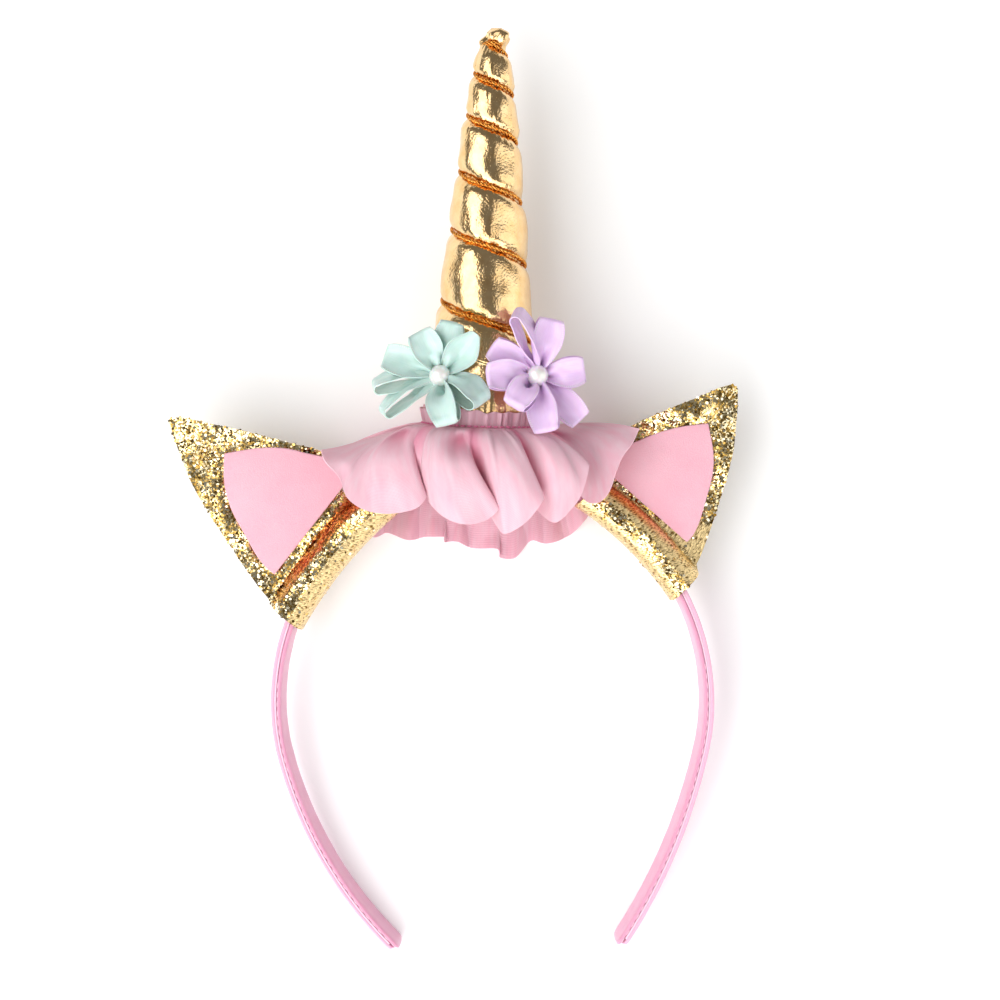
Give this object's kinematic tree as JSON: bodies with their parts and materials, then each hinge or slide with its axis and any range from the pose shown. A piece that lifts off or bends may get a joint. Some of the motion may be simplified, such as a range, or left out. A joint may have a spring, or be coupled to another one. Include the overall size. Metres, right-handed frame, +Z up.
{
  "type": "unicorn horn headband",
  "caption": "Dress-up headband with a stuffed, cord-wound unicorn horn, a gathered chiffon ruffle, ribbon flowers with pearls and folded glitter ears.",
  "frame": {"origin": "middle of the foot: centre of the bounding box in X and Y, on the surface that the headband lies on", "axes": "the headband lies on its back; +Y runs from the band's tips to the horn's tip, +Z is up and towards the wearer's front, +X is to the right in the picture"},
  "size_m": [0.164, 0.2596, 0.0422],
  "materials": {
    "pink_satin": "pink satin ribbon glued over a springy plastic strip",
    "pink_lining": "darker pink satin ribbon lining",
    "gold_lame": "shiny gold foil cloth, softly stuffed",
    "gold_cord": "twisted orange-gold metallic cord",
    "pink_chiffon": "thin see-through pink chiffon, gathered",
    "gold_glitter": "chunky gold glitter on soft imitation leather",
    "pink_felt": "matte pale pink felt",
    "mint_ribbon": "mint satin ribbon",
    "lilac_ribbon": "lilac satin ribbon",
    "pearl": "pearly coated plastic"
  },
  "bodies": {
    "root": {"headband": "pink_satin", "band_lining": "pink_lining", "horn": "gold_lame", "horn_cord": "gold_cord", "ruffle_front": "pink_chiffon", "ruffle_back": "pink_chiffon", "ear_left": "gold_glitter", "ear_left_panel": "pink_felt", "ear_right": "gold_glitter", "ear_right_panel": "pink_felt", "mint_petal_1": "mint_ribbon", "mint_petal_2": "mint_ribbon", "mint_petal_3": "mint_ribbon", "mint_petal_4": "mint_ribbon", "mint_petal_5": "mint_ribbon", "mint_petal_6": "mint_ribbon", "mint_petal_7": "mint_ribbon", "mint_petal_8": "mint_ribbon", "mint_pearl": "pearl", "lilac_petal_1": "lilac_ribbon", "lilac_petal_2": "lilac_ribbon", "lilac_petal_3": "lilac_ribbon", "lilac_petal_4": "lilac_ribbon", "lilac_petal_5": "lilac_ribbon", "lilac_petal_6": "lilac_ribbon", "lilac_petal_7": "lilac_ribbon", "lilac_petal_8": "lilac_ribbon", "lilac_pearl": "pearl"}
  },
  "joints": []
}
